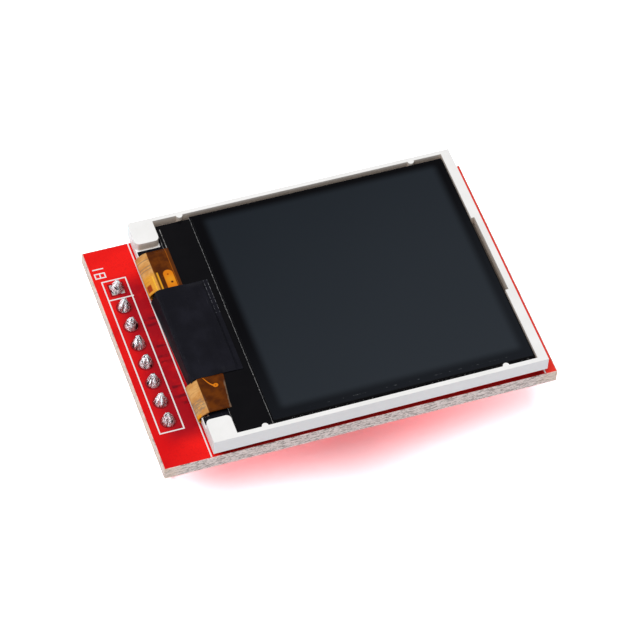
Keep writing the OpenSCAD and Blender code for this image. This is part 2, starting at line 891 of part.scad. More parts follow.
module transistor_body() {
    translate([part_x1, -group_offset, 0]) package_body();
}

module transistor_leads() {
    translate([part_x1, -group_offset, 0]) package_leads();
}

// Chip part of height h: a body between two slightly thicker end caps
module chip_part(h) {
    cap_extra = 0.02;
    translate([0, 0, z_board - h / 2]) {
        cube([chip_part_l - cap_l, chip_part_w - 2 * cap_extra, h - 2 * cap_extra], center = true);
        for (s = [-1, 1])
            translate([s * (chip_part_l - cap_l) / 2, 0, 0])
                cube([cap_l, chip_part_w, h], center = true);
    }
}

module resistor(i) {
    color("#202024") at_resistor(i) chip_part(resistor_h);
}

module capacitor(i) {
    color("#b08a5a") at_capacitor(i) chip_part(capacitor_h);
}

circuit_board();
solder_mask_top();
solder_mask_bottom();
copper_top();
copper_bottom();
silkscreen_top();
silkscreen_bottom();
header_housing();
for (i = [1:pin_count]) header_pin(i);
for (i = [1:pin_count]) solder_joint(i);
foam_tape();
display_frame();
reflector_sheet();
light_guide();
diffuser_film();
lower_prism_film();
upper_prism_film();
led_strip();
for (i = [1:led_count]) backlight_led(i);
rim_tape();
rear_polariser();
transistor_glass();
filter_glass();
front_polariser();
driver_chip();
flexible_circuit();
flex_solder();
cover_tape();
regulator_body();
regulator_leads();
transistor_body();
transistor_leads();
for (i = [1:3]) resistor(i);
for (i = [1:3]) capacitor(i);
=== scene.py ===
# Looks of a small colour display module: materials, fine pieces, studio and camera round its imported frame.
import math

import bmesh
import bpy
import numpy as np
from mathutils import Matrix, Vector


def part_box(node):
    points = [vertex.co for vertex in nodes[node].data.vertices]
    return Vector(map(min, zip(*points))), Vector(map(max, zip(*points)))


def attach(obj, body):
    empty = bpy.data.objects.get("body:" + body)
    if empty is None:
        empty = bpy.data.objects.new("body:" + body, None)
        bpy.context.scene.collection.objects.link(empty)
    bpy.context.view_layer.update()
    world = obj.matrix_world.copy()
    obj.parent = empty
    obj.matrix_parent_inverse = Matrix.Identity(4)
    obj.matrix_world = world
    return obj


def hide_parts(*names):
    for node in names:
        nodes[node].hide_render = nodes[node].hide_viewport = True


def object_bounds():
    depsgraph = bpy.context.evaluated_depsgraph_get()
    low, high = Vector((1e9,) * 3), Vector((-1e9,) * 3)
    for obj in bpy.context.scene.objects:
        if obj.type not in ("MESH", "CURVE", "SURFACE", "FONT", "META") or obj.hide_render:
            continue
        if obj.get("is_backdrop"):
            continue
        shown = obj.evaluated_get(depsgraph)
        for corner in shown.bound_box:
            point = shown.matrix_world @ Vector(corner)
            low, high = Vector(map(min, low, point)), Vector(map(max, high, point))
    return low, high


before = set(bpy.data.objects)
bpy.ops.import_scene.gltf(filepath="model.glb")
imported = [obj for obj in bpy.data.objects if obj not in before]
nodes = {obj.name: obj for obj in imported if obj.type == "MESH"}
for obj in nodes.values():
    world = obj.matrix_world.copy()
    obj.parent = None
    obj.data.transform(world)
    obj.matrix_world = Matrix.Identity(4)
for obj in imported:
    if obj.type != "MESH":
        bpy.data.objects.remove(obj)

mm = 0.001
solderFoot = 0.7                    # radius of the solder on a pad, millimetres
cadLow, cadHigh = (list(corner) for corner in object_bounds())


def boxOf(name):
    # lowest and highest corner of a node, in millimetres
    low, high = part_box(name)
    return np.array(low) / mm, np.array(high) / mm


boardLow, boardHigh = boxOf("circuit_board")
frameLow, frameHigh = boxOf("display_frame")
glassLow, glassHigh = boxOf("transistor_glass")
filterLow = boxOf("filter_glass")[0]
filmLow, filmHigh = boxOf("front_polariser")
flexLow, flexHigh = boxOf("flexible_circuit")
tapeLow, tapeHigh = boxOf("cover_tape")
chipLow, chipHigh = boxOf("driver_chip")
boardTop = boardHigh[2]
flexThick = 0.12
flexTop = glassHigh[2] + flexThick
headEdge = glassLow[0] + 0.4        # the flexible circuit's free edge on the glass
bayRight = glassHigh[0] + 0.1
pinCount = sum(1 for name in nodes if name.startswith("header_pin_"))
pinPlaces = [sum(boxOf("header_pin_%d" % (i + 1))) / 2 for i in range(pinCount)]


def tone(red, green, blue):
    # screen values from 0 to 255 made linear
    def linear(value):
        value /= 255
        return value / 12.92 if value <= 0.04045 else ((value + 0.055) / 1.055) ** 2.4
    return (linear(red), linear(green), linear(blue), 1.0)


current = {}    # under "tree", the node tree that the helpers add to


def startTree(owner):
    # empties the tree of a material or a world, and makes it the one that the helpers add to
    owner.use_nodes = True
    owner.node_tree.nodes.clear()
    current["tree"] = owner.node_tree


def newMaterial(name):
    material = bpy.data.materials.new(name)
    startTree(material)
    return material


def feed(socket, value):
    # a link where the value is another node's output, otherwise a plain value
    if isinstance(value, bpy.types.NodeSocket):
        current["tree"].links.new(value, socket)
    else:
        socket.default_value = value


def addNode(kind, inputs=None, **settings):
    made = current["tree"].nodes.new("ShaderNode" + kind)
    for key, value in settings.items():
        setattr(made, key, value)
    for key, value in (inputs or {}).items():
        feed(made.inputs[key], value)
    return made


def calc(operation, first, second=0.0, clamp=False):
    return addNode("Math", {0: first, 1: second}, operation=operation, use_clamp=clamp).outputs[0]


def times(first, second):
    return calc("MULTIPLY", first, second)


def plus(first, second):
    return calc("ADD", first, second)


def minus(first, second):
    return calc("SUBTRACT", first, second)


def apart(first, second):
    return calc("ABSOLUTE", minus(first, second))


def spread(value, low, high):
    # a share from 0 to 1 moved to the range from low to high
    return addNode("MapRange", {"Value": value, "To Min": low, "To Max": high}).outputs[0]


def ramp(value, low, high, smooth=True):
    # 0 at low and 1 at high; low may be the greater
    if low > high:
        return minus(1.0, ramp(value, high, low, smooth))
    made = addNode("MapRange", {"Value": value, "From Min": low, "From Max": high},
                   interpolation_type="SMOOTHSTEP" if smooth else "LINEAR", clamp=True)
    return made.outputs["Result"]


def blendColor(factor, first, second):
    # a colour is a node's output, four linear values, or three screen values
    made = addNode("Mix", data_type="RGBA", clamp_factor=True)
    for key, value in ((0, factor), (6, first), (7, second)):
        isTone = isinstance(value, tuple) and len(value) == 3
        feed(made.inputs[key], tone(*value) if isTone else value)
    return made.outputs[2]


def paint(color, mask, value, strength=1.0):
    # a colour laid over another one, as far as the mask and the strength say
    return blendColor(times(mask, strength), color, value)


def millimetres(stretch=(1, 1, 1)):
    # Object coordinates in millimetres; a stretch above 1 makes a pattern finer along that axis
    place = addNode("TexCoord").outputs["Object"]
    return addNode("Mapping", {"Vector": place, "Scale": [s / mm for s in stretch]}).outputs["Vector"]


def surfaceMap(stretch=(1, 1, 1)):
    # the piece's own map, already in millimetres along the sheet
    place = addNode("UVMap", uv_map="sheetMap").outputs["UV"]
    return addNode("Mapping", {"Vector": place, "Scale": stretch}).outputs["Vector"]


def axes(place):
    made = addNode("SeparateXYZ", {"Vector": place})
    return made.outputs[0], made.outputs[1], made.outputs[2]


def noise(place, scale, detail=3.0, roughness=0.55, distortion=0.0):
    made = addNode("TexNoise", {"Vector": place, "Scale": scale, "Detail": detail, "Roughness": roughness,
                                "Distortion": distortion})
    return made.outputs["Fac"]


def boxMask(x, y, box, soft):
    # 1 inside the rectangle (x0, y0, x1, y1), fading to 0 across its border
    x0, y0, x1, y1 = box
    mask = ramp(x, x0 - soft, x0 + soft)
    for side in (ramp(x, x1 + soft, x1 - soft), ramp(y, y0 - soft, y0 + soft),
                 ramp(y, y1 + soft, y1 - soft)):
        mask = times(mask, side)
    return mask


def discMask(x, y, centre, radius, soft):
    # 1 inside a disc, fading to 0 across its border
    across = calc("POWER", minus(x, centre[0]), 2.0)
    along = calc("POWER", minus(y, centre[1]), 2.0)
    return ramp(calc("SQRT", plus(across, along)), radius + soft, radius - soft)


def either(*masks):
    total = masks[0]
    for mask in masks[1:]:
        total = calc("MAXIMUM", total, mask)
    return total


def sideFaces():
    # 1 on upright faces, 0 on level ones
    normal = addNode("NewGeometry").outputs["True Normal"]
    return ramp(calc("ABSOLUTE", axes(normal)[2]), 0.75, 0.6)


def bump(height, distance, strength=1.0):
    # distance is the height of the relief, in millimetres
    made = addNode("Bump", {"Height": height, "Distance": distance * mm, "Strength": strength})
    return made.outputs["Normal"]


def surface(color, roughness, normal=None, **sockets):
    shader = addNode("BsdfPrincipled", {"Base Color": color, "Roughness": roughness})
    for key, value in sockets.items():
        feed(shader.inputs[key.replace("_", " ")], value)
    if normal is not None:
        feed(shader.inputs["Normal"], normal)
    addNode("OutputMaterial", {"Surface": shader.outputs[0]}).is_active_output = True


def dress(material, *names):
    for name in names:
        data = nodes[name].data
        data.materials.clear()
        data.materials.append(material)


def gridPiece(name, points, material, standsFor, mapPoints=None, keep=None, wrap=False):
    # points is a grid of places in millimetres, rows by columns; wrap joins the last column to the first,
    # and keep says which faces stay
    rows, columns = points.shape[:2]
    index = np.arange(rows * columns).reshape(rows, columns)
    after = np.roll(index, -1, axis=1) if wrap else index[:, 1:]
    before = index if wrap else index[:, :-1]
    faces = np.stack([before[:-1], after[:-1], after[1:], before[1:]], axis=-1)
    faces = faces[keep] if keep is not None else faces.reshape(-1, 4)
    mesh = bpy.data.meshes.new(name)
    mesh.from_pydata((points.reshape(-1, 3) * mm).tolist(), [], faces.reshape(-1, 4).tolist())
    if mapPoints is not None:
        layer = mesh.uv_layers.new(name="sheetMap")
        corners = np.zeros(len(mesh.loops), np.int32)
        mesh.loops.foreach_get("vertex_index", corners)
        layer.data.foreach_set("uv", mapPoints.reshape(-1, 2)[corners].astype(np.float32).ravel())
    return finishPiece(name, mesh, material, standsFor)


def finishPiece(name, mesh, material, standsFor, smooth=True):
    # loose corners go, doubles are merged, the piece is given its name and joins the root body, and the nodes
    # that it stands for are hidden
    tidy = bmesh.new()
    tidy.from_mesh(mesh)
    bmesh.ops.remove_doubles(tidy, verts=tidy.verts, dist=1e-7)
    loose = [v for v in tidy.verts if not v.link_faces]
    bmesh.ops.delete(tidy, geom=loose, context="VERTS")
    tidy.to_mesh(mesh)
    tidy.free()
    mesh.polygons.foreach_set("use_smooth", [smooth] * len(mesh.polygons))
    mesh.materials.append(material)
    mesh.update()
    piece = bpy.data.objects.new(name, mesh)
    bpy.context.scene.collection.objects.link(piece)
    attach(piece, "root")
    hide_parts(*standsFor)
    return piece


def mergedCopy(node, distance=1e-6):
    # a node's own shape to work on, with the corners that lie within the distance of each other merged
    merged = bmesh.new()
    merged.from_mesh(nodes[node].data)
    bmesh.ops.remove_doubles(merged, verts=merged.verts, dist=distance)
    return merged


def placeCopy(name, merged, material, node):
    # the worked shape as a flat shaded piece that stands for its node
    mesh = bpy.data.meshes.new(name)
    merged.to_mesh(mesh)
    merged.free()
    for layer in [layer.name for layer in mesh.attributes if layer.name == "custom_normal"]:
        mesh.attributes.remove(mesh.attributes[layer])
    return finishPiece(name, mesh, material, [node], smooth=False)


def thicken(piece, thickness):
    # a sheet gets its thickness on its inner side
    made = piece.modifiers.new("thickness", "SOLIDIFY")
    made.thickness, made.offset = thickness * mm, -1.0
    made.use_even_offset = True
    return made


def wave(rng, shape, low, high, count):
    # sum of count sine waves in two parameters from 0 to 1, each with a random direction, length and phase
    rows, columns = np.meshgrid(np.linspace(0, 1, shape[0]), np.linspace(0, 1, shape[1]), indexing="ij")
    total = np.zeros(shape)
    for _ in range(count):
        turns, angle, phase = rng.uniform(low, high), rng.uniform(0, math.pi), rng.uniform(0, 2 * math.pi)
        total += np.sin(2 * math.pi * turns * (rows * math.cos(angle) + columns * math.sin(angle)) + phase)
    return total / count


print("helpers ready, %d nodes in the frame" % len(nodes))

cameraView = {
    "azimuth": -22.508, "elevation": 51.996, "roll": 4.41,  # degrees
    "distance": 346.66, "aimOffset": (-0.36, -2.12, 4.8),
       # millimetres, from the middle of the object's box
    "lens": 188.985, "sensor": 36.0,
}


def makeCamera():
    azimuth, elevation = math.radians(cameraView["azimuth"]), math.radians(cameraView["elevation"])
    back = Vector((math.sin(azimuth) * math.cos(elevation), -math.cos(azimuth) * math.cos(elevation),
                   math.sin(elevation)))
    aim = (Vector(cadLow) + Vector(cadHigh)) / 2 + Vector(cameraView["aimOffset"]) * mm
    data = bpy.data.cameras.new("camera")
    data.lens, data.sensor_width = cameraView["lens"], cameraView["sensor"]
    data.clip_start, data.clip_end = 0.01, 20
    camera = bpy.data.objects.new("camera", data)
    bpy.context.scene.collection.objects.link(camera)
    turn = (-back).to_track_quat("-Z", "Y").to_matrix().to_4x4()
    roll = Matrix.Rotation(math.radians(cameraView["roll"]), 4, "Z")
    camera.matrix_world = Matrix.Translation(aim + back * cameraView["distance"] * mm) @ turn @ roll
    bpy.context.scene.camera = camera


makeCamera()
print("camera ready")

studio = {
    "skyLevel": 0.38,                     # light from all round
    "keyFrom": (-0.34, -0.06, 0.94),      # direction of the large soft lamp
    "keyDistance": 0.9, "keySize": 0.9,   # metres
    "keyLevel": 0.74,                     # share that it adds to a face turned straight to it
    "floorSize": 8.0, "floorTone": (250, 250, 250), "floorTint": (1.0, 1.0, 1.05),
    # the second paleness is painted light: the paper is painted that much paler near both ends along X
    "floorSeen": 1.9, "floorPaintedPaleEnds": 3.0,    # how pale the paper looks, where 1 is as lit
    "shadowSpan": (13, 27), "shadowFade": 9,
       # where the shadow is at its full strength along X, millimetres; outside it the paper is painted paler,
       # which fades the shadow (painted light)
}


def seenRays():
    # 1 for what the camera sees by itself, in a reflection or through glass
    path = addNode("LightPath")
    return either(*[path.outputs["Is %s Ray" % kind] for kind in ("Camera", "Glossy", "Transmission")])


def makeStudio():
    world = bpy.data.worlds.new("studio")
    bpy.context.scene.world = world
    startTree(world)
    seen = seenRays()
    soft = addNode("Background", {"Color": (1, 1, 1, 1), "Strength": studio["skyLevel"]})
    plain = addNode("Background", {"Color": (1, 1, 1, 1), "Strength": 1.0})
    both = addNode("MixShader", {0: seen, 1: soft.outputs[0], 2: plain.outputs[0]})
    addNode("OutputWorld", {"Surface": both.outputs[0]})

    towards = Vector(studio["keyFrom"]).normalized()
    data = bpy.data.lights.new("keyLamp", "AREA")
    data.shape, data.size = "DISK", studio["keySize"]
    # a disc lamp of P watts lights a face d metres away to P / (pi d)^2
    data.energy = studio["keyLevel"] * (math.pi * studio["keyDistance"]) ** 2
    lamp = bpy.data.objects.new("keyLamp", data)
    lamp.location = towards * studio["keyDistance"] + (Vector(cadLow) + Vector(cadHigh)) / 2
    lamp.rotation_euler = (-towards).to_track_quat("-Z", "Y").to_euler()
    bpy.context.scene.collection.objects.link(lamp)

    half, level = studio["floorSize"] / 2, cadLow[2]
    mesh = bpy.data.meshes.new("floor")
    mesh.from_pydata([(-half, -half, level), (half, -half, level), (half, half, level),
                      (-half, half, level)], [], [(0, 1, 2, 3)])
    floor = bpy.data.objects.new("floor", mesh)
    bpy.context.scene.collection.objects.link(floor)
    floor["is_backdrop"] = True
    material = newMaterial("floorPaper")
    seen = seenRays()
    x, y, z = axes(millimetres())
    start, end = studio["shadowSpan"]
    fade = studio["shadowFade"]
    # painted light: the paper is painted paler outside the shadow's span, which fades the shadow at its ends
    middle = times(ramp(x, start - fade, start + fade), ramp(x, end + fade, end - fade))
    bright = blendColor(middle, [studio["floorPaintedPaleEnds"] * part for part in studio["floorTint"]] + [1.0],
                        [studio["floorSeen"] * part for part in studio["floorTint"]] + [1.0])
    matte = addNode("BsdfDiffuse", {"Color": blendColor(seen, studio["floorTone"], bright)})
    addNode("OutputMaterial", {"Surface": matte.outputs[0]})
    mesh.materials.append(material)


makeStudio()
print("studio ready")

laminateLook = {
    "pale": (243, 231, 228), "dark": (138, 124, 120), "warm": (240, 216, 194),
    "ply": 0.2,             # height of one layer of glass cloth
    "warmReach": 3.0,       # the ends are warmer for this far
}


def laminateMaterial():
    # layers of glass cloth cut through at the edges: level streaks, darker flecks and a warmer tone at
    # the ends
    material = newMaterial("laminateEdge")
    place = millimetres()
    x, y, z = axes(place)
    streak = noise(millimetres((0.9, 0.9, 6.5)), 1.0, 4.0, 0.65)
    fleck = noise(millimetres((3.2, 3.2, 9.0)), 1.0, 2.0, 0.7)
    grain = noise(place, 14.0, 2.0, 0.6)
    mixed = plus(times(streak, 0.55), times(fleck, 0.45))
    color = blendColor(ramp(mixed, 0.38, 0.56), laminateLook["dark"], laminateLook["pale"])
    layer = calc("PINGPONG", plus(z, times(streak, 0.15)), laminateLook["ply"] / 2)
    color = paint(color, ramp(layer, 0.03, 0.0), laminateLook["pale"], 0.35)
    reach = laminateLook["warmReach"]
    ends = either(ramp(x, boardHigh[0] - reach, boardHigh[0]), ramp(x, boardLow[0] + reach, boardLow[0]))
    warmth = times(ends, ramp(noise(place, 0.5, 2.0), 0.3, 0.6))
    color = paint(color, warmth, laminateLook["warm"], 0.6)
    color = paint(color, ramp(grain, 0.6, 0.75), (120, 108, 102), 0.4)
    # the bare ring round each pad is stained by the lacquer's edge
    inside = boxMask(x, y, (boardLow[0] + 0.4, boardLow[1] + 0.4, boardHigh[0] - 0.4, boardHigh[1] - 0.4),
                     0.1)
    ring = times(inside, minus(1.0, sideFaces()))
    color = blendColor(ring, color, (140, 26, 24))
    surface(color, 0.7, bump(mixed, 0.03), Specular_IOR_Level=0.15)
    return material


maskLook = {
    "bright": (247, 30, 26), "middle": (222, 16, 20), "deep": (158, 12, 28), "track": (112, 12, 26),
    # front is painted shade under the display's front wall, right is painted light beyond its right end
    "front": (140, 12, 10), "right": (255, 62, 50),
    "trackWidth": 0.34,
    "trackEnds": (1.45, 2.75),                   # from the printed box to the line beside the display
    "trackRows": (4.2, 3.4, 0.5, -0.85, -1.6, -4.9, -6.2, -7.1),
}


def maskMaterial():
    # glossy red lacquer over copper tracks, which show through as darker bars
    material = newMaterial("redMask")
    place = millimetres()
    x, y, z = axes(place)
    broad = noise(place, 0.12, 2.0)
    color = blendColor(ramp(broad, 0.35, 0.65), maskLook["middle"], maskLook["bright"])
    near = boxMask(x, y, (-0.6, pinPlaces[-1][1] - 2.5, 3.6, pinPlaces[0][1] + 0.8), 1.3)
    near = times(near, ramp(noise(place, 0.35, 3.0), 0.1, 0.5))
    color = paint(color, near, maskLook["deep"], 0.9)
    x0, x1 = maskLook["trackEnds"]
    half = maskLook["trackWidth"] / 2
    wobble = plus(y, times(minus(noise(place, 0.9, 2.0), 0.5), 0.35))
    bars = either(*[boxMask(x, wobble, (x0 + 0.1 * (i % 3), row - half, x1 - 0.1 * (i % 2), row + half),
                            0.12) for i, row in enumerate(maskLook["trackRows"])])
    bars = times(bars, ramp(noise(place, 1.6, 3.0), 0.25, 0.6))
    color = paint(color, bars, maskLook["track"], 0.9)
    # painted shade below the display's front wall and painted light beyond its right end
    front = times(ramp(y, frameLow[1] + 0.5, frameLow[1] + 0.2),
                  boxMask(x, y, (frameLow[0] + 0.8, boardLow[1] - 1, frameHigh[0] - 0.1, 0), 0.5))
    color = blendColor(front, color, maskLook["front"])
    color = blendColor(ramp(x, frameHigh[0], frameHigh[0] + 0.2), color, maskLook["right"])
    grain = noise(place, 6.0, 4.0, 0.65)
    color = paint(color, ramp(grain, 0.45, 0.8), maskLook["deep"], 0.3)
    normal = bump(plus(times(bars, 0.6), times(grain, 0.4)), 0.02)
    surface(color, 0.32, normal, Specular_IOR_Level=0.06)
    return material


inkLook = {
    "clean": (236, 234, 234), "thin": (214, 176, 176),
    "narrower": 0.03,       # how far each side of a stroke is drawn in
}


def inkMaterial():
    # white print, a little thin in places, so that the red shows through
    material = newMaterial("whiteInk")
    place = millimetres()
    thin = ramp(noise(place, 3.0, 4.0, 0.7), 0.58, 0.8)
    color = blendColor(thin, inkLook["clean"], inkLook["thin"])
    surface(color, 0.55, bump(noise(place, 8.0), 0.004), Specular_IOR_Level=0.3)
    return material


def padMaterial():
    # tinned copper: dull silver with warm patches where the tin is thin
    material = newMaterial("tinnedPad")
    place = millimetres()
    patch = ramp(noise(place, 1.8, 4.0), 0.45, 0.7)
    color = blendColor(patch, (184, 184, 188), (168, 156, 140))
    rough = spread(noise(place, 5.0), 0.25, 0.5)
    # the rims of the pads are under the lacquer
    x, y, z = axes(place)
    pitch = pinPlaces[0][1] - pinPlaces[1][1]
    fromPin = calc("PINGPONG", minus(y, pinPlaces[0][1] + 10 * pitch), pitch / 2)
    radius = calc("SQRT", plus(calc("POWER", x, 2.0), calc("POWER", fromPin, 2.0)))
    rim = times(ramp(radius, solderFoot - 0.03, solderFoot + 0.01),
                ramp(y, pinPlaces[0][1] - pitch / 2 + 0.1, pinPlaces[0][1] - pitch / 2))
    square = ramp(either(calc("ABSOLUTE", x), fromPin), solderFoot - 0.03, solderFoot)
    rim = either(rim, square)
    color = blendColor(rim, color, maskLook["deep"])
    surface(color, rough, bump(noise(place, 4.0), 0.01), Specular_IOR_Level=0.04, Metallic=minus(1.0, rim))
    return material


def makeInk():
    # the node's own shape with each stroke a little narrower: a corner moves in along each side face that
    # meets it
    thinned = mergedCopy("silkscreen_top")
    thinned.normal_update()
    moves = []
    for corner in thinned.verts:
        sides = {(round(face.normal.x, 2),
                  round(face.normal.y, 2)) for face in corner.link_faces if abs(face.normal.z) < 0.5}
        moves.append(Vector((sum(n[0] for n in sides), sum(n[1] for n in sides), 0)))
    for corner, move in zip(thinned.verts, moves):
        corner.co -= move * inkLook["narrower"] * mm
    placeCopy("white_print", thinned, inkMaterial(), "silkscreen_top")


dress(laminateMaterial(), "circuit_board")
dress(maskMaterial(), "solder_mask_top", "solder_mask_bottom")
makeInk()
dress(inkMaterial(), "silkscreen_bottom")
dress(padMaterial(), "copper_top", "copper_bottom")
print("board dressed")

pinLook = {"plate": (232, 229, 224), "worn": (206, 203, 199), "tin": (214, 214, 218),
           "tip": 0.5,
           "shorter": 0.1}    # width of the tip as a share of the pin's, and how much it is cut back


def pinMaterial():
    # pale tin plate drawn lengthways, duller from the board upwards
    material = newMaterial("pinPlate")
    place = millimetres()
    x, y, z = axes(place)
    drawn = noise(millimetres((9.0, 9.0, 0.5)), 1.0, 3.0, 0.6)
    color = blendColor(ramp(drawn, 0.4, 0.7), pinLook["plate"], pinLook["worn"])
    color = blendColor(ramp(z, boardTop - 0.2, boardTop), color, pinLook["tin"])
    rough = spread(drawn, 0.2, 0.42)
    surface(color, rough, bump(drawn, 0.006), Metallic=1.0)
    return material


def headerMaterial():
    # black moulded plastic with a fine grain and a slightly worn lower face
    material = newMaterial("headerPlastic")
    place = millimetres()
    x, y, z = axes(place)
    grain = noise(place, 9.0, 3.0)
    scuff = times(ramp(noise(millimetres((6, 0.8, 6)), 1.0), 0.55, 0.75), ramp(z, 0.4, 0.0))
    color = blendColor(grain, (24, 24, 26), (36, 36, 38))
    color = paint(color, scuff, (84, 84, 86), 0.5)
    surface(color, 0.5, bump(grain, 0.012), Specular_IOR_Level=0.35)
    return material


solderLook = {
    # shade is painted dark reflection in the folds and creases, red is painted reflection of the board
    "bright": (226, 232, 235), "shade": (40, 38, 42), "red": (140, 44, 50),
    "foot": solderFoot, "neck": 0.2,        # radii at the pad and at the pin's tip
    "skirt": 0.17, "barrel": 0.48,     # height of the rounded foot, and radius in the hole
    "ridge": 0.075, "lean": 0.07,      # how far the folds stand out and the tip wanders
    "rows": 60, "columns": 96, "seed": 41,
}


def solderMaterial():
    # bright tin drawn up in folds, with painted dark reflections between them and painted red reflections of
    # the board in small specks; the map runs round the pin and up it
    material = newMaterial("brightSolder")
    place = addNode("UVMap", uv_map="sheetMap").outputs["UV"]
    turn, rise, _ = axes(place)
    angle = times(turn, 2 * math.pi)
    around = addNode("CombineXYZ", {0: calc("COSINE", angle), 1: calc("SINE", angle),
                                    2: times(rise, 0.35)}).outputs[0]
    own = noise(millimetres(), 0.5, 0.0)             # sets one joint apart from the next
    shifted = addNode("VectorMath", {0: around, 1: addNode("CombineXYZ", {2: times(own, 9.0)}).outputs[0]},
                      operation="ADD").outputs[0]
    fold = noise(shifted, 1.5, 1.0, 0.5, 0.2)
    crease = apart(noise(shifted, 3.4, 2.0), 0.5)
    paintedRedReflection = noise(millimetres(), 7.0, 3.0, 0.7)
    # painted reflections: dark between the folds and along the creases, and red from the board in small
    # specks
    color = blendColor(ramp(fold, 0.55, 0.62), solderLook["bright"], solderLook["shade"])
    color = blendColor(ramp(crease, 0.034, 0.014), color, solderLook["shade"])
    color = paint(color, ramp(paintedRedReflection, 0.72, 0.78), solderLook["red"], 0.4)
    rough = spread(fold, 0.14, 0.32)
    normal = bump(plus(fold, times(crease, 1.5)), 0.05)
    surface(color, rough, normal, Metallic=0.8)
    return material


def solderPoints(centre, tipHeight, barrelLow, rng, square):
    # A surface of revolution round the pin. The profile goes up the barrel in the hole, out to the foot
    # on the pad and then up to the tip, where the radius is neck + (foot - neck)(1 - t)^0.85 at the share
    # t of the height. The radius is then multiplied by 1 plus a sum of cosines of the angle, which makes
    # the folds.
    foot, neck, skirt = solderLook["foot"], solderLook["neck"], solderLook["skirt"]
    barrel, rows, columns = (solderLook[key] for key in ("barrel", "rows", "columns"))
    t = np.linspace(0, 1, rows)
    radius = neck + (foot - neck) * (1 - t) ** (0.8 + 0.15 * rng.random())
    height = boardTop + skirt * 0.6 + (tipHeight - boardTop - skirt * 0.6) * t
    under = np.array([[0.0, barrelLow], [barrel, barrelLow], [barrel + 0.02, boardTop - 0.02],
                      [foot - 0.06, boardTop - 0.005], [foot, boardTop + 0.03]])
    cap = np.array([[neck * 0.85, tipHeight + 0.05], [neck * 0.5, tipHeight + 0.085],
                    [0.0, tipHeight + 0.09]])
    profile = np.vstack([under, np.stack([radius, height], 1), cap])
    angle = np.linspace(0, 2 * math.pi, columns, endpoint=False)
    share = np.clip((profile[:, 1] - boardTop) / (tipHeight - boardTop), 0, 1)[:, None]
    folds = np.zeros((len(profile), columns))
    for count, weight in ((3, 0.5), (4, 0.7), (5, 0.8), (7, 0.6), (9, 0.35)):
        folds += weight * np.cos(count * angle + rng.uniform(0, 6.28) + rng.uniform(-1.2, 1.2) * share)
    swell = np.sin(math.pi * np.clip(share * 1.05, 0, 1)) ** 0.7
    scale = 1 + solderLook["ridge"] * folds * swell
    # near the tip the section turns into the pin's rounded square
    corner = np.maximum(np.abs(np.cos(angle)), np.abs(np.sin(angle))) ** -0.75
    scale = scale * (1 + (corner - 1) * share ** 1.5)
    if square:
        scale = scale * (1 + 0.10 * (corner - 1) * (1 - share))
    wander = share ** 1.6 * solderLook["lean"]
    leanX, leanY = rng.uniform(-1, 1, 2)
    x = centre[0] + profile[:, :1] * scale * np.cos(angle) + wander * leanX
    y = centre[1] + profile[:, :1] * scale * np.sin(angle) + wander * leanY
    z = np.repeat(profile[:, 1:], columns, 1)
    z = z + 0.03 * np.sin(2 * angle + leanX * 3) * swell
    points = np.stack([x, y, z], -1)
    mapPoints = np.stack([np.repeat((angle / (2 * math.pi))[None], len(profile), 0), z - boardTop], -1)
    return points, mapPoints


def makeSolder():
    material = solderMaterial()
    for i, place in enumerate(pinPlaces):
        name = "solder_joint_%d" % (i + 1)
        rng = np.random.default_rng(solderLook["seed"] + i)
        low, _ = boxOf(name)
        tip = boxOf("header_pin_%d" % (i + 1))[1][2] - pinLook["shorter"]
        points, mapPoints = solderPoints(place, tip, low[2], rng, i == 0)
        gridPiece("solder_tent_%d" % (i + 1), points, material, [name], mapPoints, wrap=True)
    dress(material, "flex_solder")


def makePins():
    # the node's own shape with its end above the board drawn in to a narrow tip
    material = pinMaterial()
    for i, place in enumerate(pinPlaces):
        node = "header_pin_%d" % (i + 1)
        cut = mergedCopy(node)
        bmesh.ops.bisect_plane(cut, geom=cut.verts[:] + cut.edges[:] + cut.faces[:],
                               plane_co=(0, 0, boardTop * mm), plane_no=(0, 0, 1))
        for corner in cut.verts:
            if corner.co.z > (boardTop + 0.1) * mm:
                corner.co.z -= pinLook["shorter"] * mm
                for axis in (0, 1):
                    corner.co[axis] = place[axis] * mm + (corner.co[axis] - place[axis] * mm) * pinLook["tip"]
        placeCopy("square_pin_%d" % (i + 1), cut, material, node)


dress(headerMaterial(), "header_housing")
makePins()
makeSolder()
print("header and solder ready")

frameLook = {
    "plastic": (251, 250, 249), "shade": (243, 242, 240), "inner": (226, 208, 192),
    # inner, recess and front are painted shade: the walls' inner faces, the recess's floor and the front
    # wall's outer face
    "recess": (92, 82, 74), "outerLeft": (232, 252, 252), "front": (234, 235, 239),
    "edge": 0.05,           # width of the rounding of the moulded edges
    "flare": 0.14,          # how far the right wall's outer face stands out past the node's
    "footLift": 0.28,       # how far the front wall's lower edge rises from its left end to its right end
}


